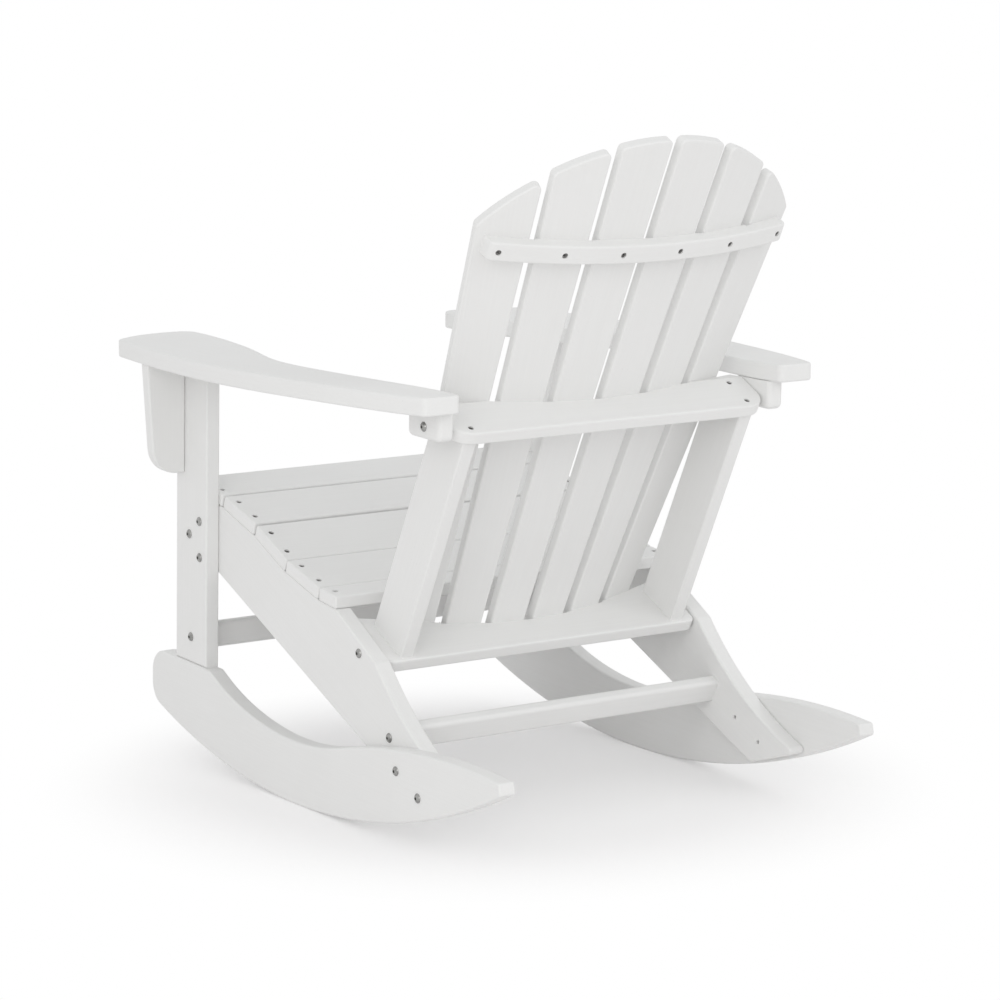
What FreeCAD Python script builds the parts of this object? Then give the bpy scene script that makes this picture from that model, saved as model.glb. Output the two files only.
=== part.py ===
import FreeCAD, Part
import math
import os

# A rocking garden chair with a fanned, curved back, built of round-edged plastic lumber boards.
# Lengths are millimetres. X runs across the chair, with +X on the sitter's left; the front is -Y; Z is up.
# Side places are pairs (y, z). The chair is laid out with its front legs upright, and is then leaned
# back about the centre of its rocker arc to the angle at which it balances.

Vector = FreeCAD.Vector

# Boards
FRAME_BOARD = 25.4
LEG_BOARD = 22.0
SLAT_BOARD = 19.0
BACK_SLAT_BOARD = 16.0
EDGE_ROUND = 3.0
STRINGER_SPACING = 530.0

# Rockers, from the side
ROCKER_RADIUS = 1160.0
ROCKER_CENTRE_Y = -90.7
ROCKER_FRONT_Y = -475.0
ROCKER_TAIL_Y = 460.0
ROCKER_SEAT_REAR_Y = -303.0
LEG_SEAT_Z = 141.5
ROCKER_HOLLOW = (
    (-235.0, 114.0), (-150.0, 96.5), (-70.0, 92.0),
    (20.0, 101.0), (122.0, 126.0), (200.0, 141.0))
ROCKER_CREST = (332.0, 155.3)
ROCKER_TAIL_TOP = (456.0, 155.5)
ROCKER_TOE_ROUND = 35.0
ROCKER_SEAT_ROUND = 34.0
ROCKER_TAIL_ROUND = 4.0

# Front legs and what joins them
LEG_FRONT_Y = -408.0
LEG_WIDTH = 89.5
CROSSBAR_HEIGHT = 38.0
CROSSBAR_ROUND = 6.0
FRONT_CROSSBAR = (-362.6, 180.1)
BRACKET_SETBACK = 7.0
BRACKET_TOP_REACH = 65.5
BRACKET_BOTTOM_REACH = 51.0
BRACKET_DROP = 164.0
BRACKET_ROUND = 40.0
APRON_HEIGHT = 89.0

# Seat: (slope in degrees, width) of each slat from the front, and the crest between the first two
SEAT_SLATS = ((6.5, 91.0), (15.5, 91.0), (22.7, 91.0), (13.9, 91.0), (4.8, 46.0))
SEAT_GAP = 3.5
SEAT_CREST = (-311.0, 382.5)

# Stringers, from the side
STRINGER_BOTTOM_SLOPE = 0.412
STRINGER_BOTTOM_Z = 310.0
STRINGER_HEEL_Y = 245.0
STRINGER_ABOVE_ARC = 5.0
STRINGER_KNEE = (112.0, 239.5)
STRINGER_SWEEP = (200.0, 163.0)
STRINGER_TOE_Y = 349.0
STRINGER_KNEE_ROUND = 8.0
STRINGER_HEEL_ROUND = 8.0
STRINGER_TOE_ROUND = 6.0

# Arms: top surface, and the outline in plan as (x, y) pairs
ARM_REAR_Y = 281.0
ARM_REAR_TOP_Z = 638.1
ARM_FALL = 2.0
ARM_OUTER_EDGE = (
    (368.0, -487.0), (386.0, -345.0), (395.0, -190.0), (390.0, -80.0),
    (366.0, 95.0), (340.0, 228.0), (325.0, 281.0))
ARM_INNER_EDGE = (
    (269.0, 281.0), (266.0, 215.0), (275.0, 120.0), (289.0, -20.0),
    (288.0, -165.0), (262.0, -262.0), (242.0, -350.0), (225.0, -521.0))
ARM_NOSE = (297.0, -523.0)
ARM_NOSE_ROUND = 24.0
ARM_HEEL_ROUND = 9.0

# Back: seen square to it, heights run up its slope from the top of the lower rail
BACK_RECLINE = 24.25
BACK_FOOT = (110.0, 237.0)
SLAT_SETBACK = 52.9
FOOT_CURVE_RADIUS = 570.0
BRACE_CURVE_RADIUS = 930.0
FAN_AT_FOOT = (0.0, 70.2, 140.4, 208.5)
FAN_AT_BRACE = (0.0, 87.5, 175.0, 264.0)
BACK_GAP = 14.5
MID_BOARD_TOP = 377.0
MID_BOARD_ROUND = 35.0
RAIL_ROUND = 12.0
BRACE_MIDDLE = 620.5
BRACE_HEIGHT = 28.0
BRACE_HALF_LENGTH = 245.0
BRACE_END_ROUND = 8.0
BRACE_BLANK_DEPTH = 76.0
CROSS_BLANK_DEPTH = 232.0
CROWN_TOP = 784.5
CROWN_RADIUS = 313.0
CROWN_CORNER = 8.0
UPRIGHT_WIDTH = 78.0
UPRIGHT_INSET = 6.0
UPRIGHT_FROM_STRINGER = 21.0
REAR_CROSSBAR = (151.0, 142.9)

# Arm blocks, from the side
BLOCK_FRONT_Y = 183.5
BLOCK_REAR_Y = 261.0
BLOCK_BOTTOM_Z = 571.0
BLOCK_ROUND = 9.0
BLOCK_RIM = 7.0

# Bolts, threaded inserts and screws
BOLT_DIAMETER = 6.0
BOLT_HEAD_DIAMETER = 13.5
BOLT_HEAD_HEIGHT = 3.5
BOLT_RIM_HEIGHT = 0.7
BOLT_DOME_POINT = (4.2, 2.9)
BOLT_SOCKET = 4.0
BOLT_SOCKET_DEPTH = 2.0
INSERT_DIAMETER = 10.0
INSERT_LENGTH = 16.0
INSERT_COVER = 4.0
BOLT_INTO_END = 46.0
SCREW_DIAMETER = 4.2
SCREW_HEAD_DIAMETER = 8.4
SCREW_HEAD_HEIGHT = 3.0
SCREW_TIP = 7.0
SCREW_SINK = 2.0
SCREW_WELL = 3.0
RECESS_LENGTH = 4.6
RECESS_WIDTH = 1.1
RECESS_DEPTH = 1.8
FOOT_SCREW_SINK_Z = 70.0
FOOT_SCREW_BORE = 11.0
POCKET_BORE = 10.0
POCKET_ANGLE = 20.0
POCKET_DROP = 42.0
POCKET_DEPTH = 14.0

# Where the fasteners stand: leg bolts as (distance behind the leg's front edge, height)
ROCKER_BOLTS = ((208.3, 113.0), (263.6, 88.6))
LEG_BOLTS = ((68.7, 358.4), (39.4, 334.7), (69.8, 304.5))
BACK_BOLT_INSET = 40.0
UPRIGHT_SCREW_INSETS = (14.3, 60.0)
BRACE_SCREWS = (46.3, 134.3, 227.0)
SEAT_SCREW_SPREAD = 48.0
APRON_SCREW_DROPS = (43.0, 75.0)
BRACKET_SCREW_DROPS = (68.0, 130.0)
LEG_SCREW_INSETS = (19.0, 71.0)
BLOCK_SCREW_INSET = 15.0

# Screw lengths
SEAT_SCREW = 36.0
BRACE_SCREW = 29.0
BACK_SCREW = 45.0
UPRIGHT_SCREW = 60.0
APRON_SCREW = 50.0
BRACKET_SCREW = 62.0
ARM_SCREW = 50.0
FOOT_SCREW = 112.0

# Weights for the balance, in grams per cubic millimetre
LUMBER_DENSITY = 0.00095
STEEL_DENSITY = 0.0079

# Worked out from the sizes above
STRINGER_INNER = STRINGER_SPACING / 2
STRINGER_OUTER = STRINGER_INNER + FRAME_BOARD
ROCKER_OUTER = STRINGER_OUTER + FRAME_BOARD
LEG_OUTER = STRINGER_OUTER + LEG_BOARD
LEG_MIDDLE = STRINGER_OUTER + LEG_BOARD / 2
LEG_REAR_Y = LEG_FRONT_Y + LEG_WIDTH
STRINGER_MIDDLE = STRINGER_INNER + FRAME_BOARD / 2
STRINGER_FRONT_Y = LEG_FRONT_Y + SLAT_BOARD
UPRIGHT_OUTER = STRINGER_INNER - UPRIGHT_FROM_STRINGER
UPRIGHT_MIDDLE = UPRIGHT_OUTER - LEG_BOARD / 2
BRACKET_MIDDLE_Y = LEG_FRONT_Y + BRACKET_SETBACK + SLAT_BOARD / 2
BELOW_BACK = -2 * SLAT_BOARD
ROOM_REACH = 1000.0


# The tilted frame of the back: Y points to the rear square to it, Z runs up its slope.
BACK = FreeCAD.Placement(
    Vector(0, BACK_FOOT[0], BACK_FOOT[1]),
    FreeCAD.Rotation(Vector(1, 0, 0), -BACK_RECLINE))


# A placement that takes a board's own axes to the given directions.
def placed_on(origin, along, across):
    out = along.cross(across)
    grid = FreeCAD.Matrix(
        along.x, across.x, out.x, origin.x,
        along.y, across.y, out.y, origin.y,
        along.z, across.z, out.z, origin.z,
        0, 0, 0, 1)
    return FreeCAD.Placement(grid)


# A closed flat outline. A pair is a straight run to that point, two pairs are an arc through the first
# to the second, and a longer row is a smooth curve through all of them. The last run ends at the start.
def outline(start, runs):
    edges = []
    here = Vector(start[0], start[1], 0)
    for run in runs:
        if isinstance(run[0], tuple):
            points = [Vector(u, v, 0) for u, v in run]
        else:
            points = [Vector(run[0], run[1], 0)]
        if len(points) == 1:
            edges.append(Part.LineSegment(here, points[0]).toShape())
        elif len(points) == 2:
            edges.append(Part.Arc(here, points[0], points[1]).toShape())
        else:
            curve = Part.BSplineCurve()
            curve.interpolate([here] + points)
            edges.append(curve.toShape())
        here = points[-1]
    return Part.Wire(edges)


# A board sawn to an outline and laid flat, with the named corners rounded and the rims of both faces eased.
def board(start, runs, thickness, corners=(), rim=EDGE_ROUND):
    solid = Part.Face(outline(start, runs)).extrude(Vector(0, 0, thickness))
    for u, v, radius in corners:
        upright = [
            edge for edge in solid.Edges
            if edge.BoundBox.XLength + edge.BoundBox.YLength < 0.001
            and math.hypot(edge.CenterOfMass.x - u, edge.CenterOfMass.y - v) < 0.01]
        solid = solid.makeFillet(radius, upright)
    if rim:
        rims = [edge for edge in solid.Edges if edge.BoundBox.ZLength < 0.001]
        solid = solid.makeFillet(rim, rims)
    return solid


# A straight bar along X, with its long edges eased, and its ends too where they are free.
def bar(length, depth, height, free_ends, easing=EDGE_ROUND):
    solid = Part.makeBox(length, depth, height, Vector(-length / 2, -depth / 2, -height / 2))
    edges = [edge for edge in solid.Edges if free_ends or edge.BoundBox.XLength > length / 2]
    return solid.makeFillet(easing, edges)


# A board standing in a side plane, its inner face at x.
def side_board(x, start, runs, thickness, corners=(), rim=EDGE_ROUND):
    solid = board(start, runs, thickness, corners, rim)
    solid.Placement = placed_on(Vector(x, 0, 0), Vector(0, 1, 0), Vector(0, 0, 1))
    return solid


def mirrored(shape):
    return shape.mirror(Vector(0, 0, 0), Vector(1, 0, 0))


# Height of the rocker's underside, or of an arc the given distance above it.
def arc_height(y, above=0.0):
    radius = ROCKER_RADIUS - above
    return ROCKER_RADIUS - math.sqrt(radius ** 2 - (y - ROCKER_CENTRE_Y) ** 2)


def arm_top(y):
    return ARM_REAR_TOP_Z - (ARM_REAR_Y - y) * math.tan(math.radians(ARM_FALL))


def arm_underside(y):
    return arm_top(y) - FRAME_BOARD / math.cos(math.radians(ARM_FALL))


def stringer_bottom(y):
    return STRINGER_BOTTOM_Z - STRINGER_BOTTOM_SLOPE * (y - STRINGER_FRONT_Y)


# The points between which each seat slat lies on the stringers, from front to rear.
def seat_line():
    slope, width = SEAT_SLATS[0]
    reach = width + SEAT_GAP
    angle = math.radians(slope)
    points = [(SEAT_CREST[0] - reach * math.cos(angle), SEAT_CREST[1] + reach * math.sin(angle))]
    for slope, width in SEAT_SLATS:
        y, z = points[-1]
        reach = width + SEAT_GAP
        angle = math.radians(slope)
        points.append((y + reach * math.cos(angle), z - reach * math.sin(angle)))
    return points


# Rocker: a flat seat for the leg, a long hollow, and a low crest over the tail.
def make_rocker():
    toe = (ROCKER_FRONT_Y, arc_height(ROCKER_FRONT_Y))
    seat_front = (ROCKER_FRONT_Y, LEG_SEAT_Z)
    seat_rear = (ROCKER_SEAT_REAR_Y, LEG_SEAT_Z)
    tail = (ROCKER_TAIL_Y, arc_height(ROCKER_TAIL_Y))
    lowest = (ROCKER_CENTRE_Y, arc_height(ROCKER_CENTRE_Y))
    runs = [seat_front, seat_rear, ROCKER_HOLLOW + (ROCKER_CREST, ROCKER_TAIL_TOP), tail, (lowest, toe)]
    corners = [
        toe + (ROCKER_TOE_ROUND,),
        seat_front + (ROCKER_SEAT_ROUND,),
        seat_rear + (ROCKER_SEAT_ROUND / 2,),
        ROCKER_TAIL_TOP + (ROCKER_TAIL_ROUND,),
        tail + (ROCKER_TAIL_ROUND,)]
    return side_board(STRINGER_OUTER, toe, runs, FRAME_BOARD, corners)


# Stringer: carries the seat on its top edge and runs down to a toe bolted inside the rocker's tail.
def make_stringer():
    top = seat_line()
    rise = math.tan(math.radians(SEAT_SLATS[0][0]))
    front_top = (STRINGER_FRONT_Y, top[1][1] + rise * (top[1][0] - STRINGER_FRONT_Y))
    front_bottom = (STRINGER_FRONT_Y, stringer_bottom(STRINGER_FRONT_Y))
    heel_z = stringer_bottom(STRINGER_HEEL_Y)
    toe = (STRINGER_TOE_Y, arc_height(STRINGER_TOE_Y, STRINGER_ABOVE_ARC))
    heel = (STRINGER_HEEL_Y, arc_height(STRINGER_HEEL_Y, STRINGER_ABOVE_ARC))
    middle_y = (heel[0] + toe[0]) / 2
    middle = (middle_y, arc_height(middle_y, STRINGER_ABOVE_ARC))
    runs = [front_top] + top[1:] + [STRINGER_KNEE, (STRINGER_SWEEP, toe), (middle, heel), front_bottom]
    corners = [
        front_bottom + (EDGE_ROUND,),
        STRINGER_KNEE + (STRINGER_KNEE_ROUND,),
        heel + (STRINGER_HEEL_ROUND,),
        toe + (STRINGER_TOE_ROUND,)]
    return side_board(STRINGER_INNER, front_bottom, runs, FRAME_BOARD, corners)


# Front leg: stands on the rocker's flat and reaches up to the arm, against the stringer's outer face.
def make_front_leg():
    foot = (LEG_FRONT_Y, LEG_SEAT_Z)
    top_front = (LEG_FRONT_Y, arm_underside(LEG_FRONT_Y))
    top_rear = (LEG_REAR_Y, arm_underside(LEG_REAR_Y))
    return side_board(STRINGER_OUTER, foot, [(LEG_REAR_Y, LEG_SEAT_Z), top_rear, top_front, foot], LEG_BOARD)


# The room above the plane of the arms' undersides.
def arm_room():
    room = Part.makeBox(2 * ROOM_REACH, 2 * ROOM_REACH, ROOM_REACH, Vector(-ROOM_REACH, -ROOM_REACH, 0))
    room.rotate(Vector(0, 0, 0), Vector(1, 0, 0), ARM_FALL)
    room.translate(Vector(0, ARM_REAR_Y, arm_underside(ARM_REAR_Y)))
    return room


# Arm bracket: a board square to the leg's outer face, under the arm's overhang.
def make_arm_bracket():
    bottom_z = arm_underside(LEG_FRONT_Y) - BRACKET_DROP
    above = arm_underside(LEG_FRONT_Y) + FRAME_BOARD
    foot = (LEG_OUTER, bottom_z)
    low_corner = (LEG_OUTER + BRACKET_BOTTOM_REACH, bottom_z)
    runs = [low_corner, (LEG_OUTER + BRACKET_TOP_REACH, above), (LEG_OUTER, above), foot]
    solid = board(foot, runs, SLAT_BOARD, [low_corner + (BRACKET_ROUND,)])
    solid.Placement = placed_on(
        Vector(0, BRACKET_MIDDLE_Y + SLAT_BOARD / 2, 0), Vector(1, 0, 0), Vector(0, 0, 1))
    return solid.cut(arm_room())


# Arm: a paddle, wide in front and narrow behind, sloping gently to the front.
def make_arm():
    start = ARM_INNER_EDGE[-1]
    runs = [(ARM_NOSE, ARM_OUTER_EDGE[0]), ARM_OUTER_EDGE[1:], ARM_INNER_EDGE[0], ARM_INNER_EDGE[1:]]
    corners = [
        start + (ARM_NOSE_ROUND,),
        ARM_OUTER_EDGE[0] + (ARM_NOSE_ROUND,),
        ARM_OUTER_EDGE[-1] + (ARM_HEEL_ROUND,),
        ARM_INNER_EDGE[0] + (ARM_HEEL_ROUND,)]
    solid = board(start, runs, FRAME_BOARD, corners)
    solid.translate(Vector(0, -ARM_REAR_Y, 0))
    solid.rotate(Vector(0, 0, 0), Vector(1, 0, 0), ARM_FALL)
    solid.translate(Vector(0, ARM_REAR_Y, arm_underside(ARM_REAR_Y)))
    return solid


# Arm block: bolted to the end of the middle board, under the rear of the arm.
def make_arm_block():
    low_front = (BLOCK_FRONT_Y, BLOCK_BOTTOM_Z)
    low_rear = (BLOCK_REAR_Y, BLOCK_BOTTOM_Z)
    above = arm_top(BLOCK_REAR_Y)
    corners = [low_front + (BLOCK_ROUND,), low_rear + (BLOCK_ROUND,)]
    runs = [low_rear, (BLOCK_REAR_Y, above), (BLOCK_FRONT_Y, above), low_front]
    solid = side_board(STRINGER_INNER, low_front, runs, FRAME_BOARD, corners, BLOCK_RIM)
    return solid.cut(arm_room())


def make_front_crossbar():
    solid = bar(2 * STRINGER_OUTER, SLAT_BOARD, CROSSBAR_HEIGHT, False, CROSSBAR_ROUND)
    solid.translate(Vector(0, FRONT_CROSSBAR[0], FRONT_CROSSBAR[1]))
    return solid


def make_rear_crossbar():
    solid = bar(STRINGER_SPACING, SLAT_BOARD, CROSSBAR_HEIGHT, False, CROSSBAR_ROUND)
    solid.rotate(Vector(0, 0, 0), Vector(1, 0, 0), -BACK_RECLINE)
    solid.translate(Vector(0, REAR_CROSSBAR[0], REAR_CROSSBAR[1]))
    return solid


# Front apron: closes the seat's front below the first slat.
def make_front_apron():
    top_z = seat_line()[0][1]
    solid = bar(2 * STRINGER_OUTER, SLAT_BOARD, APRON_HEIGHT, False)
    solid.translate(Vector(0, LEG_FRONT_Y + SLAT_BOARD / 2, top_z - EDGE_ROUND - APRON_HEIGHT / 2))
    return solid


# Middle of a seat slat's underside, from the side, and its slope in degrees.
def seat_slat_seat(index):
    points = seat_line()
    (y0, z0), (y1, z1) = points[index], points[index + 1]
    return (y0 + y1) / 2, (z0 + z1) / 2, SEAT_SLATS[index][0]


def make_seat_slat(index):
    y, z, slope = seat_slat_seat(index)
    solid = bar(2 * STRINGER_OUTER, SEAT_SLATS[index][1], SLAT_BOARD, True)
    solid.translate(Vector(0, 0, SLAT_BOARD / 2))
    solid.rotate(Vector(0, 0, 0), Vector(1, 0, 0), -slope)
    solid.translate(Vector(0, y, z))
    return solid


# Distance from the back's middle to one of the lines between its slats, at a height up the back.
def fan_line(index, height):
    foot = FAN_AT_FOOT[index]
    return foot + (FAN_AT_BRACE[index] - foot) * height / BRACE_MIDDLE


# How far a slat's rear face stands in front of the rail's rear edge.
def setback(x, radius):
    return SLAT_SETBACK + radius - math.sqrt(radius ** 2 - x ** 2)


# The frame of a back slat: its rear face's foot, its width direction, and its length direction.
def slat_frame(index):
    foot_x = (fan_line(index, 0) + fan_line(index + 1, 0)) / 2
    brace_x = (fan_line(index, BRACE_MIDDLE) + fan_line(index + 1, BRACE_MIDDLE)) / 2
    foot = Vector(foot_x, -setback(foot_x, FOOT_CURVE_RADIUS), 0)
    brace = Vector(brace_x, -setback(brace_x, BRACE_CURVE_RADIUS), BRACE_MIDDLE)
    length = (brace - foot).normalize()
    turn = (math.asin(foot_x / FOOT_CURVE_RADIUS) + math.asin(brace_x / BRACE_CURVE_RADIUS)) / 2
    width = Vector(math.cos(turn), -math.sin(turn), 0)
    width = (width - length * width.dot(length)).normalize()
    return foot, width, length


# Where a point of the back, seen square to it, falls on a slat's rear face.
def on_slat(index, x, height):
    foot, width, length = slat_frame(index)
    x = x - foot.x
    scale = width.x * length.z - length.x * width.z
    return (x * length.z - length.x * height) / scale, (width.x * height - x * width.z) / scale


# Where a line between slats, moved sideways, meets the round crown.
def crown_point(index, shift):
    start = fan_line(index, 0) + shift
    lean = (FAN_AT_BRACE[index] - FAN_AT_FOOT[index]) / BRACE_MIDDLE
    centre = CROWN_TOP - CROWN_RADIUS
    a = 1 + lean ** 2
    b = start * lean - centre
    c = start ** 2 + centre ** 2 - CROWN_RADIUS ** 2
    height = (math.sqrt(b ** 2 - a * c) - b) / a
    return start + lean * height, height


# Back slat: a tapered flat board with a share of the crown cut on its top.
def make_back_slat(index):
    half_gap = BACK_GAP / 2
    inner_foot = on_slat(index, fan_line(index, -SLAT_BOARD) + half_gap, -SLAT_BOARD)
    outer_foot = on_slat(index, fan_line(index + 1, -SLAT_BOARD) - half_gap, -SLAT_BOARD)
    inner_crown = crown_point(index, half_gap)
    outer_crown = crown_point(index + 1, -half_gap)
    middle_x = (inner_crown[0] + outer_crown[0]) / 2
    middle_height = CROWN_TOP - CROWN_RADIUS + math.sqrt(CROWN_RADIUS ** 2 - middle_x ** 2)
    inner_top = on_slat(index, *inner_crown)
    outer_top = on_slat(index, *outer_crown)
    middle_top = on_slat(index, middle_x, middle_height)
    corners = [
        inner_foot + (EDGE_ROUND,),
        outer_foot + (EDGE_ROUND,),
        inner_top + (CROWN_CORNER,),
        outer_top + (CROWN_CORNER,)]
    runs = [outer_foot, outer_top, (middle_top, inner_top), inner_foot]
    solid = board(inner_foot, runs, BACK_SLAT_BOARD, corners)
    foot, width, length = slat_frame(index)
    solid.Placement = BACK.multiply(placed_on(foot, width, length))
    return solid


# The room in front of the plane of a slat's rear face, as wide as the slat's share of the back.
def slat_room(index, last):
    low = BELOW_BACK
    high = CROWN_TOP
    outer = STRINGER_SPACING if last else 0.0
    corners = [
        on_slat(index, fan_line(index, low), low),
        on_slat(index, max(outer, fan_line(index + 1, low)), low),
        on_slat(index, max(outer, fan_line(index + 1, high)), high),
        on_slat(index, fan_line(index, high), high)]
    room = board(corners[0], corners[1:] + corners[:1], STRINGER_SPACING, rim=0.0)
    foot, width, length = slat_frame(index)
    room.Placement = BACK.multiply(placed_on(foot, width, length))
    return room


def slat_rooms():
    count = len(FAN_AT_FOOT) - 1
    rooms = [slat_room(index, index == count - 1) for index in range(count)]
    return rooms + [mirrored(room) for room in rooms]


# A board square to the back's slope, from the rear edge forward, cut to the slats' rear faces.
def cross_board(top, rear_round, rooms):
    depth = CROSS_BLANK_DEPTH
    rear_left = (STRINGER_INNER, 0.0)
    rear_right = (-STRINGER_INNER, 0.0)
    start = (-STRINGER_INNER, -depth)
    runs = [(STRINGER_INNER, -depth), rear_left, rear_right, start]
    corners = [rear_left + (rear_round,), rear_right + (rear_round,)]
    solid = board(start, runs, SLAT_BOARD, corners, rim=0.0)
    rear = [
        edge for edge in solid.Edges
        if edge.BoundBox.ZLength < 0.001 and edge.BoundBox.YMin > -rear_round - 0.001]
    solid = solid.makeFillet(EDGE_ROUND, rear)
    solid.Placement = BACK.multiply(FreeCAD.Placement(Vector(0, 0, top - SLAT_BOARD), FreeCAD.Rotation()))
    return solid.cut(rooms)


def make_lower_rail(rooms):
    return cross_board(0.0, RAIL_ROUND, rooms)


def make_mid_board(rooms):
    return cross_board(MID_BOARD_TOP, MID_BOARD_ROUND, rooms + [arm_room()])


# Upper brace: a curved batten across the rear faces of the slats.
def make_upper_brace(rooms):
    outer_radius = BRACE_CURVE_RADIUS + SLAT_BOARD
    end_y = -SLAT_SETBACK - BRACE_CURVE_RADIUS + math.sqrt(outer_radius ** 2 - BRACE_HALF_LENGTH ** 2)
    front_y = end_y - BRACE_BLANK_DEPTH
    left_end = (BRACE_HALF_LENGTH, end_y)
    right_end = (-BRACE_HALF_LENGTH, end_y)
    start = (-BRACE_HALF_LENGTH, front_y)
    crest = (0.0, SLAT_BOARD - SLAT_SETBACK)
    corners = [left_end + (BRACE_END_ROUND,), right_end + (BRACE_END_ROUND,)]
    runs = [(BRACE_HALF_LENGTH, front_y), left_end, (crest, right_end), start]
    solid = board(start, runs, BRACE_HEIGHT, corners)
    solid.Placement = BACK.multiply(
        FreeCAD.Placement(Vector(0, 0, BRACE_MIDDLE - BRACE_HEIGHT / 2), FreeCAD.Rotation()))
    return solid.cut(rooms)


# Back upright: a post from the lower rail to the middle board.
def make_back_upright():
    height = MID_BOARD_TOP - SLAT_BOARD
    solid = bar(height, UPRIGHT_WIDTH, LEG_BOARD, False)
    middle = Vector(UPRIGHT_MIDDLE, -UPRIGHT_INSET - UPRIGHT_WIDTH / 2, height / 2)
    solid.Placement = BACK.multiply(placed_on(middle, Vector(0, 0, 1), Vector(0, 1, 0)))
    return solid


# Button-head bolt with a hexagon socket. Its head stands on the face, its shank runs down from there.
def bolt(length):
    radius = BOLT_DIAMETER / 2
    head_radius = BOLT_HEAD_DIAMETER / 2
    points = [
        Vector(0, 0, BOLT_HEAD_HEIGHT),
        Vector(BOLT_DOME_POINT[0], 0, BOLT_DOME_POINT[1]),
        Vector(head_radius, 0, BOLT_RIM_HEIGHT),
        Vector(head_radius, 0, 0),
        Vector(radius, 0, 0),
        Vector(radius, 0, -length),
        Vector(0, 0, -length)]
    edges = [Part.Arc(points[0], points[1], points[2]).toShape()]
    edges += [Part.LineSegment(a, b).toShape() for a, b in zip(points[2:], points[3:] + points[:1])]
    solid = Part.Face(Part.Wire(edges)).revolve(Vector(0, 0, 0), Vector(0, 0, 1), 360)
    corner = BOLT_SOCKET / math.sqrt(3)
    turns = [k * math.pi / 3 for k in range(7)]
    ring = [Vector(corner * math.cos(turn), corner * math.sin(turn), 0) for turn in turns]
    socket = Part.Face(Part.makePolygon(ring)).extrude(Vector(0, 0, BOLT_HEAD_HEIGHT))
    socket.translate(Vector(0, 0, BOLT_HEAD_HEIGHT - BOLT_SOCKET_DEPTH))
    return solid.cut(socket)


# Countersunk wood screw, and its hole with the well down which the head is sunk below the board's face.
def screw(length):
    radius = SCREW_DIAMETER / 2
    head_radius = SCREW_HEAD_DIAMETER / 2
    points = [
        Vector(0, 0, 0),
        Vector(head_radius, 0, 0),
        Vector(radius, 0, -SCREW_HEAD_HEIGHT),
        Vector(radius, 0, SCREW_TIP - length),
        Vector(0, 0, -length)]
    blank = Part.Face(Part.makePolygon(points + points[:1])).revolve(Vector(0, 0, 0), Vector(0, 0, 1), 360)
    slot = Part.makeBox(
        RECESS_LENGTH, RECESS_WIDTH, RECESS_DEPTH,
        Vector(-RECESS_LENGTH / 2, -RECESS_WIDTH / 2, -RECESS_DEPTH))
    cross = slot.copy()
    cross.rotate(Vector(0, 0, 0), Vector(0, 0, 1), 90)
    return blank.cut([slot, cross]), blank.fuse(Part.makeCylinder(head_radius, SCREW_WELL))


# Stands a fastener at a point so that it is driven along a direction.
def driven(shape, point, direction):
    shape = shape.copy()
    shape.Placement = FreeCAD.Placement(point, FreeCAD.Rotation(Vector(0, 0, -1), direction))
    return shape


# Collects the fasteners by kind, with the holes that they need.
class Fasteners:
    def __init__(self):
        self.kinds = {}
        self.holes = []

    def both_sides(self, kind, piece, hole):
        self.kinds.setdefault(kind, []).extend([piece, mirrored(piece)])
        if hole:
            self.holes += [hole, mirrored(hole)]

    # A bolt along X from outside, with a threaded insert round the end of its shank. The hole runs on past
    # them to its end.
    def add_bolt(self, kind, head_x, end_x, place):
        inward = Vector(-1, 0, 0)
        head = Vector(head_x, place[0], place[1])
        hole = Part.makeCylinder(BOLT_DIAMETER / 2, head_x - end_x, head, inward)
        tip = Vector(end_x + INSERT_COVER, place[0], place[1])
        sleeve = Part.makeCylinder(INSERT_DIAMETER / 2, INSERT_LENGTH, tip, Vector(1, 0, 0))
        self.both_sides(kind, driven(bolt(head_x - tip.x), head, inward), hole.fuse(sleeve))
        self.both_sides("threaded_inserts", sleeve.cut(hole), None)

    def add_screw(self, kind, point, direction, length):
        piece, hole = screw(length)
        seat = point + direction * SCREW_SINK
        self.both_sides(kind, driven(piece, seat, direction), driven(hole, seat, direction))

    # A screw whose place and direction are given in the frame of the back.
    def add_back_screw(self, kind, point, direction, length):
        self.add_screw(kind, BACK.multVec(point), BACK.Rotation.multVec(direction), length)


# A bolt's place from the side, for a board of the back whose middle is at the given height up the slope.
def back_bolt_place(height):
    place = BACK.multVec(Vector(0, -BACK_BOLT_INSET, height))
    return place.y, place.z


def add_bolts(fasteners):
    for place in ROCKER_BOLTS:
        fasteners.add_bolt("rocker_bolts", ROCKER_OUTER, STRINGER_INNER, place)
    for inset, z in LEG_BOLTS:
        fasteners.add_bolt("leg_bolts", LEG_OUTER, STRINGER_INNER, (LEG_FRONT_Y + inset, z))
    fasteners.add_bolt("front_crossbar_bolts", LEG_OUTER, STRINGER_OUTER - BOLT_INTO_END, FRONT_CROSSBAR)
    fasteners.add_bolt("rear_crossbar_bolts", STRINGER_OUTER, STRINGER_INNER - BOLT_INTO_END, REAR_CROSSBAR)
    rail_place = back_bolt_place(-SLAT_BOARD / 2)
    fasteners.add_bolt("lower_rail_bolts", STRINGER_OUTER, STRINGER_INNER - BOLT_INTO_END, rail_place)
    mid_place = back_bolt_place(MID_BOARD_TOP - SLAT_BOARD / 2)
    fasteners.add_bolt("arm_block_bolts", STRINGER_OUTER, STRINGER_INNER - BOLT_INTO_END, mid_place)


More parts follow.
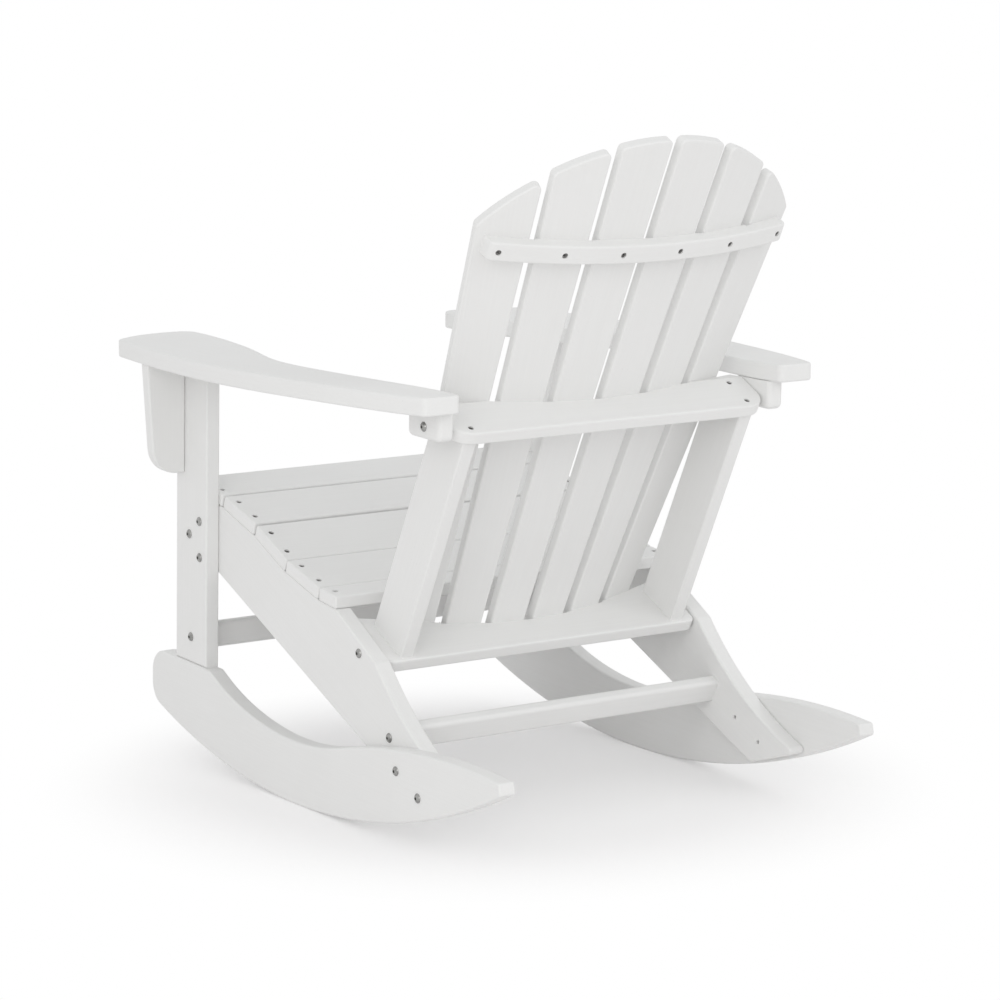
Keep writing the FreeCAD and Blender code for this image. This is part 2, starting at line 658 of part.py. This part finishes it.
def add_seat_screws(fasteners):
    for index in range(len(SEAT_SLATS)):
        y, z, slope = seat_slat_seat(index)
        angle = math.radians(slope)
        along = Vector(0, math.cos(angle), -math.sin(angle))
        up = Vector(0, math.sin(angle), math.cos(angle))
        width = SEAT_SLATS[index][1]
        shifts = [0.0] if width < SEAT_SCREW_SPREAD else [-SEAT_SCREW_SPREAD / 2, SEAT_SCREW_SPREAD / 2]
        for shift in shifts:
            point = Vector(STRINGER_MIDDLE, y, z) + along * shift + up * SLAT_BOARD
            fasteners.add_screw("seat_screws", point, up * -1, SEAT_SCREW)


def add_back_screws(fasteners):
    up = Vector(0, 0, 1)
    for inset in UPRIGHT_SCREW_INSETS:
        top = Vector(UPRIGHT_MIDDLE, -inset, MID_BOARD_TOP)
        fasteners.add_back_screw("mid_board_screws", top, up * -1, UPRIGHT_SCREW)
        foot = Vector(UPRIGHT_MIDDLE, -inset, -SLAT_BOARD)
        fasteners.add_back_screw("upright_foot_screws", foot, up, UPRIGHT_SCREW)
    for index, x in enumerate(BRACE_SCREWS):
        foot, width, length = slat_frame(index)
        forward = width.cross(length)
        t, along = on_slat(index, x, BRACE_MIDDLE)
        on_face = foot + width * t + length * along
        rear = brace_rear_point(on_face, forward)
        fasteners.add_back_screw("brace_screws", rear, forward, BRACE_SCREW)
        for height in (-SLAT_BOARD / 2, MID_BOARD_TOP - SLAT_BOARD / 2):
            middle = (fan_line(index, height) + fan_line(index + 1, height)) / 2
            t, along = on_slat(index, middle, height)
            front = foot + width * t + length * along + forward * BACK_SLAT_BOARD
            fasteners.add_back_screw("back_slat_screws", front, forward * -1, BACK_SCREW)


# Where a line square to a slat leaves the brace's round rear face.
def brace_rear_point(point, forward):
    centre_y = -SLAT_SETBACK - BRACE_CURVE_RADIUS
    outer_radius = BRACE_CURVE_RADIUS + SLAT_BOARD
    a = forward.x ** 2 + forward.y ** 2
    b = point.x * forward.x + (point.y - centre_y) * forward.y
    c = point.x ** 2 + (point.y - centre_y) ** 2 - outer_radius ** 2
    reach = (-b - math.sqrt(b ** 2 - a * c)) / a
    return point + forward * reach


# The arms are held from below: upward through the blocks, and by slanted screws in pockets in the legs.
def add_arm_screws(fasteners):
    for y in (BLOCK_FRONT_Y + BLOCK_SCREW_INSET, BLOCK_REAR_Y - BLOCK_SCREW_INSET):
        under_block = Vector(STRINGER_MIDDLE, y, BLOCK_BOTTOM_Z)
        fasteners.add_screw("arm_screws", under_block, Vector(0, 0, 1), ARM_SCREW)
    angle = math.radians(POCKET_ANGLE)
    slant = Vector(math.sin(angle), 0, math.cos(angle))
    for inset in LEG_SCREW_INSETS:
        y = LEG_FRONT_Y + inset
        mouth = Vector(STRINGER_OUTER, y, arm_underside(y) - POCKET_DROP)
        fasteners.add_screw("arm_screws", mouth + slant * POCKET_DEPTH, slant, ARM_SCREW)
        bore = Part.makeCylinder(POCKET_BORE / 2, 2 * POCKET_DEPTH, mouth - slant * POCKET_DEPTH, slant)
        fasteners.holes += [bore, mirrored(bore)]


def add_leg_screws(fasteners):
    for drop in BRACKET_SCREW_DROPS:
        point = Vector(STRINGER_OUTER, BRACKET_MIDDLE_Y, arm_underside(LEG_FRONT_Y) - drop)
        fasteners.add_screw("bracket_screws", point, Vector(1, 0, 0), BRACKET_SCREW)
    for drop in APRON_SCREW_DROPS:
        point = Vector(STRINGER_MIDDLE, LEG_FRONT_Y, seat_line()[0][1] - drop)
        fasteners.add_screw("apron_screws", point, Vector(0, 1, 0), APRON_SCREW)
    for inset in LEG_SCREW_INSETS:
        y = LEG_FRONT_Y + inset
        head = Vector(LEG_MIDDLE, y, FOOT_SCREW_SINK_Z)
        fasteners.add_screw("leg_foot_screws", head, Vector(0, 0, 1), FOOT_SCREW)
        bore = Part.makeCylinder(FOOT_SCREW_BORE / 2, FOOT_SCREW_SINK_Z, Vector(LEG_MIDDLE, y, 0))
        fasteners.holes += [bore, mirrored(bore)]


# All boards by name; left is the sitter's left.
def make_boards():
    boards = {}
    pairs = {
        "rocker": make_rocker(), "stringer": make_stringer(), "front_leg": make_front_leg(),
        "arm_bracket": make_arm_bracket(), "arm": make_arm(), "arm_block": make_arm_block(),
        "back_upright": make_back_upright()}
    for name, shape in pairs.items():
        boards[name + "_left"] = shape
        boards[name + "_right"] = mirrored(shape)
    rooms = slat_rooms()
    boards["front_crossbar"] = make_front_crossbar()
    boards["rear_crossbar"] = make_rear_crossbar()
    boards["front_apron"] = make_front_apron()
    boards["lower_back_rail"] = make_lower_rail(rooms)
    boards["mid_back_board"] = make_mid_board(rooms)
    boards["upper_back_brace"] = make_upper_brace(rooms)
    for index in range(len(SEAT_SLATS)):
        boards["seat_slat_" + str(index + 1)] = make_seat_slat(index)
    count = len(FAN_AT_FOOT) - 1
    for index in range(count):
        slat = make_back_slat(index)
        boards["back_slat_" + str(count - index)] = slat
        boards["back_slat_" + str(count + 1 + index)] = mirrored(slat)
    return boards


def drilled(solid, holes):
    near = [hole for hole in holes if hole.BoundBox.intersect(solid.BoundBox)]
    return solid.cut(near) if near else solid


# How far the chair leans back, in degrees, for its weight to hang under the centre of the rocker arc.
def balance_lean(boards, fasteners):
    weights = [(shape, LUMBER_DENSITY) for shape in boards.values()]
    weights += [(shape, STEEL_DENSITY) for pieces in fasteners.values() for shape in pieces]
    total = sum(shape.Volume * density for shape, density in weights)
    centre_y = 0.0
    centre_z = 0.0
    for shape, density in weights:
        for solid in shape.Solids:
            centre_y += solid.Volume * density * solid.CenterOfMass.y / total
            centre_z += solid.Volume * density * solid.CenterOfMass.z / total
    lean = math.degrees(math.atan2(centre_y - ROCKER_CENTRE_Y, ROCKER_RADIUS - centre_z))
    print("weight g", round(total), "centre", round(centre_y, 1), round(centre_z, 1), "lean", round(lean, 3))
    return lean


def main():
    fasteners = Fasteners()
    add_bolts(fasteners)
    add_seat_screws(fasteners)
    add_back_screws(fasteners)
    add_arm_screws(fasteners)
    add_leg_screws(fasteners)
    boards = {name: drilled(shape, fasteners.holes) for name, shape in make_boards().items()}
    lean = balance_lean(boards, fasteners.kinds)
    nodes = dict(boards)
    for kind, pieces in fasteners.kinds.items():
        nodes[kind] = Part.makeCompound(pieces)
    for shape in nodes.values():
        shape.rotate(Vector(0, ROCKER_CENTRE_Y, ROCKER_RADIUS), Vector(1, 0, 0), -lean)
    whole = Part.makeCompound(list(nodes.values())).optimalBoundingBox(False)
    shift = Vector(0, -(whole.YMin + whole.YMax) / 2, 0)
    os.makedirs("parts", exist_ok=True)
    for name, shape in nodes.items():
        shape.translate(shift)
        shape.exportStep("parts/" + name + ".step")
    size = [round(length, 2) for length in (whole.XLength, whole.YLength, whole.ZLength)]
    print("shift", round(shift.y, 3), "size", size, "lowest", round(whole.ZMin, 4))


main()
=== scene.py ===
import math
import bpy
from mathutils import Matrix, Vector

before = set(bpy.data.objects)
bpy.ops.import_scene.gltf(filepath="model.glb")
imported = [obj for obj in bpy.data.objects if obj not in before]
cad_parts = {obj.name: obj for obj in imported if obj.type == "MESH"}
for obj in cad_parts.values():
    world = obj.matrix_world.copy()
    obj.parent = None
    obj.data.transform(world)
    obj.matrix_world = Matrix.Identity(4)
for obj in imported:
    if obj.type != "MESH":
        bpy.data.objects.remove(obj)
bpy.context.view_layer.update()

# A garden rocking chair of white plastic lumber, bolted and screwed together. Every board and fastener
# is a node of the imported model, so the sections below give each one the surface that the real one has.

# ROCKERS
# Two boards routed from 25 mm plastic lumber. The flat faces keep the extruded skin with its fine lengthwise
# streaks, and the sawn and rounded edges show the cutter's close, shallow ripple.


# A shader socket, or the tree that sockets are made in, that takes part in Python arithmetic.
class Shade:
    def __init__(self, tree, socket=None):
        self.tree = tree
        self.socket = socket

    def node(self, kind, settings=(), inputs=(), output=0):
        made = self.tree.nodes.new("ShaderNode" + kind)
        for name, value in dict(settings).items():
            setattr(made, name, value)
        for name, value in dict(inputs).items():
            if isinstance(value, Shade):
                self.tree.links.new(value.socket, made.inputs[name])
            else:
                made.inputs[name].default_value = value
        return Shade(self.tree, made.outputs[output] if made.outputs else None)

    def maths(self, operation, first, second=0.0):
        return self.node("Math", {"operation": operation}, {0: first, 1: second})

    def __add__(self, other):
        return self.maths("ADD", self, other)

    def __sub__(self, other):
        return self.maths("SUBTRACT", self, other)

    def __mul__(self, other):
        return self.maths("MULTIPLY", self, other)

    def __rsub__(self, other):
        return self.maths("SUBTRACT", other, self)

    def __abs__(self):
        return self.maths("ABSOLUTE", self)

    __radd__ = __add__
    __rmul__ = __mul__

    # 0 below the first value, 1 above the second, and smooth between them.
    def between(self, low, high):
        settings = {"interpolation_type": "SMOOTHSTEP"}
        return self.node("MapRange", settings, {"Value": self, "From Min": low, "From Max": high})

    # Points multiplied in their second and third places, so that a pattern on them is thinner across a board.
    def thinned(self, times):
        return self.node("VectorMath", {"operation": "MULTIPLY"}, {0: self, 1: (1.0, times, times)})

    def noise(self, points, scale, detail=2.0, roughness=0.5):
        inputs = {"Vector": points, "Scale": scale, "Detail": detail, "Roughness": roughness}
        return self.node("TexNoise", {}, inputs)

    # The sockets 6, 7 and 2 are the Mix node's own for colours.
    def mixed(self, first, second):
        return self.node("Mix", {"data_type": "RGBA"}, {0: self, 6: first, 7: second}, 2)


# Empties the node tree of a material or a world, and gives it back for shading.
def blank_tree(owner):
    owner.use_nodes = True
    owner.node_tree.nodes.clear()
    return Shade(owner.node_tree)


LUMBER_WHITE = (0.835, 0.835, 0.826, 1.0)
LUMBER_SHADE = (0.815, 0.814, 0.804, 1.0)
LUMBER_DUST = (0.620, 0.610, 0.585, 1.0)
LUMBER_ROUGHNESS = 0.50
LUMBER_SHINE = 0.42
LUMBER_RELIEF = 0.00016
FLAT_FACE = (0.80, 0.985)
STREAK_SCALE = 9.0
STREAK_THINNING = 38.0
STREAK_TONES = (0.36, 0.64)
BRUSH_SCALE = 55.0
BRUSH_THINNING = 14.0
GRAIN_SCALE = 900.0
BROAD_SCALE = 7.0
BROAD_TONES = (0.35, 0.65)
RIPPLE_SCALE = 95.0
RIPPLE_THINNING = 0.25
RIPPLE_WANDER = 1.2
SPECK_SCALE = 95.0
SPECK_EDGE = (0.055, 0.11)
DUSTY_PLACES = (0.56, 0.66)
DUST_STRENGTH = 0.22


# White plastic lumber whose streaks run along a board. The board's flat faces look along its third
# direction, and each board's own place in the pattern keeps two boards from looking the same.
def lumber(name, along, across, place):
    along = Vector(along).normalized()
    across = (Vector(across) - along * along.dot(Vector(across))).normalized()
    out = along.cross(across)
    turn = Matrix((along, across, out)).to_euler()
    material = bpy.data.materials.new(name)
    shade = blank_tree(material)
    points = shade.node("TexCoord", output="Object")
    on_board = shade.node("Mapping", {}, {"Vector": points, "Rotation": turn, "Location": place})
    facing = shade.node("TexCoord", output="Normal")
    facing_out = shade.node("VectorMath", {"operation": "DOT_PRODUCT"}, {0: facing, 1: out}, "Value")
    skin = abs(facing_out).between(*FLAT_FACE)

    streaks = shade.noise(on_board.thinned(STREAK_THINNING), STREAK_SCALE, 3.0, 0.62)
    brushed = shade.noise(on_board.thinned(BRUSH_THINNING), BRUSH_SCALE, 2.0, 0.55)
    grain = shade.noise(on_board, GRAIN_SCALE, 1.0)
    broad = shade.noise(on_board, BROAD_SCALE, 2.0, 0.45)
    ripple = shade.node("TexWave", {"wave_profile": "SIN"}, {
        "Vector": on_board.thinned(RIPPLE_THINNING), "Scale": RIPPLE_SCALE, "Distortion": RIPPLE_WANDER})
    specks = shade.node("TexVoronoi", {}, {"Vector": on_board, "Scale": SPECK_SCALE})
    dust = (1.0 - specks.between(*SPECK_EDGE)) * broad.between(*DUSTY_PLACES)

    tone = streaks.between(*STREAK_TONES) * 0.45 + broad.between(*BROAD_TONES) * 0.4 + brushed * 0.15
    colour = tone.mixed(LUMBER_SHADE, LUMBER_WHITE)
    colour = (dust * DUST_STRENGTH).mixed(colour, LUMBER_DUST)
    roughness = LUMBER_ROUGHNESS + skin * 0.07 + (brushed - 0.5) * 0.10 + (broad - 0.5) * 0.08
    relief = (streaks * 0.5 + brushed * 0.22) * skin + grain * 0.12
    relief = relief + ripple * 0.10 * (1.0 - skin) + broad * 1.2
    bump = shade.node("Bump", {}, {"Height": relief, "Strength": 0.5, "Distance": LUMBER_RELIEF})
    body = shade.node("BsdfPrincipled", {}, {
        "Base Color": colour, "Roughness": roughness, "Normal": bump, "Specular IOR Level": LUMBER_SHINE})
    shade.node("OutputMaterial", {}, {"Surface": body})
    return material


# Gives CAD nodes a surface in place of their plain one.
def dress(material, *names):
    for name in names:
        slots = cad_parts[name].data.materials
        slots.clear()
        slots.append(material)


# How far the whole chair leans back when it stands at rest on its rockers.
LEAN = math.radians(2.088)
ACROSS_CHAIR = (1.0, 0.0, 0.0)
TO_REAR = (0.0, math.cos(LEAN), -math.sin(LEAN))
UPWARD = (0.0, math.sin(LEAN), math.cos(LEAN))
dress(lumber("rocker_lumber_left", TO_REAR, UPWARD, (0.0, 0.0, 0.0)), "rocker_left")
dress(lumber("rocker_lumber_right", TO_REAR, UPWARD, (1.7, 0.3, 0.9)), "rocker_right")

# STRINGERS
# The seat's sides, of 25 mm board, bolted to the insides of the rockers and the front legs. Their streaks
# follow the long run from the legs down to the rockers' tails.
STRINGER_GRADE = 0.412
STRINGER_FALL = math.atan(STRINGER_GRADE) + LEAN
DOWN_STRINGER = (0.0, math.cos(STRINGER_FALL), -math.sin(STRINGER_FALL))
dress(lumber("stringer_lumber_left", DOWN_STRINGER, UPWARD, (0.4, 2.1, 0.0)), "stringer_left")
dress(lumber("stringer_lumber_right", DOWN_STRINGER, UPWARD, (2.6, 1.1, 0.5)), "stringer_right")

# FRONT LEGS AND ARM BRACKETS
# Upright boards on the rockers' front flats, each with a rounded bracket screwed to its outer face under the
# arm. The bracket's flat faces look to the front and the rear.
dress(lumber("leg_lumber_left", UPWARD, TO_REAR, (3.3, 0.2, 0.7)), "front_leg_left")
dress(lumber("leg_lumber_right", UPWARD, TO_REAR, (4.1, 0.8, 0.1)), "front_leg_right")
dress(
    lumber("bracket_lumber", UPWARD, ACROSS_CHAIR, (5.2, 0.6, 0.4)),
    "arm_bracket_left", "arm_bracket_right")

# ARMS AND ARM BLOCKS
# Broad paddles routed from 25 mm board, laid on the legs, the brackets and the blocks at the rear. The
# blocks are bolted to the ends of the middle back board.
ARM_SLOPE = math.radians(2.0)
ARM_FALL = LEAN - ARM_SLOPE
ALONG_ARM = (0.0, math.cos(ARM_FALL), -math.sin(ARM_FALL))
dress(lumber("arm_lumber_left", ALONG_ARM, ACROSS_CHAIR, (6.3, 0.9, 0.2)), "arm_left")
dress(lumber("arm_lumber_right", ALONG_ARM, ACROSS_CHAIR, (7.1, 0.4, 0.6)), "arm_right")
dress(lumber("block_lumber", TO_REAR, UPWARD, (8.4, 0.5, 0.3)), "arm_block_left", "arm_block_right")

# CROSSBARS AND FRONT APRON
# Narrow boards between the two sides: one between the rockers' fronts, one between the stringers behind,
# and a wider one that closes the seat's front edge. The rear one is turned with the back's slope.
BACK_SLOPE = math.radians(24.25) + LEAN
UP_BACK = (0.0, math.sin(BACK_SLOPE), math.cos(BACK_SLOPE))
dress(lumber("front_bar_lumber", ACROSS_CHAIR, UPWARD, (0.3, 3.1, 0.8)), "front_crossbar")
dress(lumber("rear_bar_lumber", ACROSS_CHAIR, UP_BACK, (0.9, 4.2, 0.1)), "rear_crossbar")
dress(lumber("apron_lumber", ACROSS_CHAIR, UPWARD, (1.4, 5.1, 0.6)), "front_apron")

# SEAT SLATS
# Five 19 mm boards screwed across the stringers' curved top edge, each at its own slope. Their long edges
# are rounded over, and narrow gaps between them let rain through.
SEAT_SLOPES = (6.5, 15.5, 22.7, 13.9, 4.8)
for number, slope in enumerate(SEAT_SLOPES, 1):
    fall = math.radians(slope) + LEAN
    down_slat = (0.0, math.cos(fall), -math.sin(fall))
    seat_lumber = lumber(f"seat_lumber_{number}", ACROSS_CHAIR, down_slat, (0.7 * number, 6.0, 1.3 * number))
    dress(seat_lumber, f"seat_slat_{number}")

# BACK RAIL, MIDDLE BOARD, UPPER BRACE AND UPRIGHTS
# Boards that lie square to the back's slope, sawn to the curve of the slats' rear faces, and the two posts
# between them. The brace is a batten bent round the slats near the top.
BEHIND_BACK = (0.0, math.cos(BACK_SLOPE), -math.sin(BACK_SLOPE))
dress(lumber("rail_lumber", ACROSS_CHAIR, BEHIND_BACK, (2.2, 7.3, 0.4)), "lower_back_rail")
dress(lumber("middle_lumber", ACROSS_CHAIR, BEHIND_BACK, (3.1, 8.2, 0.9)), "mid_back_board")
dress(lumber("brace_lumber", ACROSS_CHAIR, BEHIND_BACK, (4.6, 9.4, 0.2)), "upper_back_brace")
dress(
    lumber("upright_lumber", UP_BACK, BEHIND_BACK, (5.7, 2.4, 0.5)),
    "back_upright_left", "back_upright_right")

# BACK SLATS
# Six tapered 16 mm boards that fan out upwards, with a round crown sawn across their tops. They are screwed
# to the rail, the middle board and the brace, whose curve turns the outer slats inwards.
FAN_TURNS = (7.2, 4.9, 1.7, -1.7, -4.9, -7.2)
TURN_PER_FAN = 2.4
for number, fan in enumerate(FAN_TURNS, 1):
    up_slat = Vector(UP_BACK) + Vector(ACROSS_CHAIR) * math.tan(math.radians(fan))
    bow = Vector(ACROSS_CHAIR) - Vector(BEHIND_BACK) * math.tan(math.radians(TURN_PER_FAN * fan))
    slat_lumber = lumber(f"slat_lumber_{number}", up_slat, bow, (1.9 * number, 0.6 * number, 11.0))
    dress(slat_lumber, f"back_slat_{number}")

# BOLTS
# Stainless button-head bolts with hexagon sockets, run through the boards into the next one. The real heads
# are bright, with fine scratches; their colour here is darkened, a painted dark reflection.
STAINLESS_PAINTED_DARK = (0.36, 0.36, 0.35, 1.0)
SCRATCH_SCALE = 1800.0
SCRATCH_RELIEF = 0.00005
TARNISH_SCALE = 160.0
TARNISH_TONES = (0.40, 0.66)
TARNISH_SHARE = 0.72


# Turned metal with fine scratches, darker and duller in faint clouds.
def metal(name, colour, roughness, wear):
    material = bpy.data.materials.new(name)
    shade = blank_tree(material)
    points = shade.node("TexCoord", output="Object")
    scratches = shade.noise(points, SCRATCH_SCALE, 3.0, 0.6)
    tarnish = shade.noise(points, TARNISH_SCALE)
    dull = tuple(TARNISH_SHARE * part for part in colour[:3]) + (1.0,)
    tint = tarnish.between(*TARNISH_TONES).mixed(colour, dull)
    gloss = roughness + (scratches - 0.5) * wear + tarnish * 0.06
    bump = shade.node("Bump", {}, {"Height": scratches, "Strength": 0.25, "Distance": SCRATCH_RELIEF})
    body = shade.node("BsdfPrincipled", {}, {
        "Base Color": tint, "Metallic": 1.0, "Roughness": gloss, "Normal": bump})
    shade.node("OutputMaterial", {}, {"Surface": body})
    return material


# The bolts' darkened colour is a painted dark reflection, not the steel's own.
dress(
    metal("stainless_painted_dark", STAINLESS_PAINTED_DARK, 0.20, 0.12),
    "rocker_bolts", "leg_bolts", "front_crossbar_bolts", "rear_crossbar_bolts", "lower_rail_bolts",
    "arm_block_bolts")

# SCREWS
# Countersunk steel screws driven into the lumber, with their heads sunk a little below the face. They are
# darker than the bolts.
SCREW_STEEL = (0.24, 0.235, 0.23, 1.0)
dress(
    metal("screw_steel", SCREW_STEEL, 0.38, 0.18),
    "seat_screws", "mid_board_screws", "brace_screws", "back_slat_screws", "arm_screws", "bracket_screws",
    "apron_screws", "upright_foot_screws", "leg_foot_screws")

# THREADED INSERTS
# Brass sleeves sunk in the boards round the ends of the bolts. In the stringers they sit behind small holes
# in the inner faces.
BRASS = (0.60, 0.46, 0.22, 1.0)
dress(metal("insert_brass", BRASS, 0.32, 0.15), "threaded_inserts")

# FLOOR AND BACKDROP
# A plain pale floor that keeps the chair's soft shadow and fades to white away from it. Its glow is seen
# only by the camera and in reflections.
FLOOR_SIZE = 30.0
FLOOR_TONES = ((0.94, 0.93, 0.93, 1.0), (0.96, 0.95, 0.95, 1.0))
MOTTLE_SCALE = 3.0
FADE_RADII = (0.34, 0.68)
GLOW_NEAR = 0.34
PURE_WHITE = (1.0, 1.0, 1.0, 1.0)


# 1 for rays from the camera, for reflected rays and for rays that pass through glass, else 0.
def seen_rays(shade):
    camera, glossy, through = (
        shade.node("LightPath", output=f"Is {kind} Ray") for kind in ("Camera", "Glossy", "Transmission"))
    return shade.maths("MAXIMUM", shade.maths("MAXIMUM", camera, glossy), through)


bpy.ops.mesh.primitive_plane_add(size=FLOOR_SIZE, location=(0.0, 0.0, 0.0))
floor = bpy.context.object
floor.name = "floor"
paint = bpy.data.materials.new("floor_paint")
shade = blank_tree(paint)
points = shade.node("TexCoord", output="Object")
distance = shade.node("VectorMath", {"operation": "LENGTH"}, {0: points}, "Value")
glow = seen_rays(shade) * (GLOW_NEAR + distance.between(*FADE_RADII) * (1.0 - GLOW_NEAR))
white = shade.node("Emission", {}, {"Color": PURE_WHITE, "Strength": 1.0})
matt = shade.node("BsdfPrincipled", {}, {
    "Base Color": shade.noise(points, MOTTLE_SCALE).mixed(*FLOOR_TONES),
    "Roughness": 0.9, "Specular IOR Level": 0.1})
shade.node("OutputMaterial", {}, {"Surface": shade.node("MixShader", {}, {0: glow, 1: matt, 2: white})})
floor.data.materials.append(paint)

# STUDIO LIGHT
# Even light from all round, with two broad square lamps behind the chair, one to each side. The camera sees
# the surroundings as plain white.
WORLD_LEVEL = 0.765
WORLD_TINT = (0.99, 0.995, 1.0, 1.0)
world = bpy.data.worlds.new("studio")
bpy.context.scene.world = world
sky = blank_tree(world)
even = sky.node("Background", {}, {"Color": WORLD_TINT, "Strength": WORLD_LEVEL})
white = sky.node("Background", {}, {"Color": PURE_WHITE, "Strength": 1.0})
backdrop = sky.node("MixShader", {}, {0: seen_rays(sky), 1: even, 2: white})
sky.node("OutputWorld", {}, {"Surface": backdrop})

LAMP_SIZE = 3.0
LAMP_TARGET = Vector((0.0, 0.0, 0.4))


# A lamp that looks at the chair.
def lamp(name, position, watts, colour):
    light = bpy.data.lights.new(name, "AREA")
    light.shape = "SQUARE"
    light.size = LAMP_SIZE
    light.energy = watts
    light.color = colour
    stand = bpy.data.objects.new(name, light)
    bpy.context.scene.collection.objects.link(stand)
    stand.location = position
    aim = LAMP_TARGET - Vector(position)
    stand.rotation_euler = aim.to_track_quat("-Z", "Y").to_euler()


lamp("behind_left", (3.8, 3.2, 2.2), 46.0, (1.0, 0.995, 0.985))
lamp("behind_right", (-2.4, 4.4, 3.2), 30.0, (1.0, 1.0, 1.0))

# CAMERA
# At the photograph's angle, behind the chair and to its left, with a long lens. Its place and its three
# directions were fitted to the corners of the boards.
CAMERA_RIGHT = Vector((-0.827660, 0.561229, 0.000171))
CAMERA_UP = Vector((-0.093931, -0.138822, 0.985853))
CAMERA_BACK = Vector((0.553313, 0.815935, 0.167615))
CAMERA_PLACE = Vector((2.90457, 4.30169, 1.29585))
camera = bpy.data.cameras.new("camera")
camera.lens = 131.4
camera.sensor_width = 36.0
camera.clip_end = 60.0
viewpoint = bpy.data.objects.new("camera", camera)
bpy.context.scene.collection.objects.link(viewpoint)
stand = Matrix((CAMERA_RIGHT, CAMERA_UP, CAMERA_BACK)).transposed().to_4x4()
stand.translation = CAMERA_PLACE
viewpoint.matrix_world = stand
bpy.context.scene.camera = viewpoint
bpy.context.scene.view_settings.view_transform = "Standard"
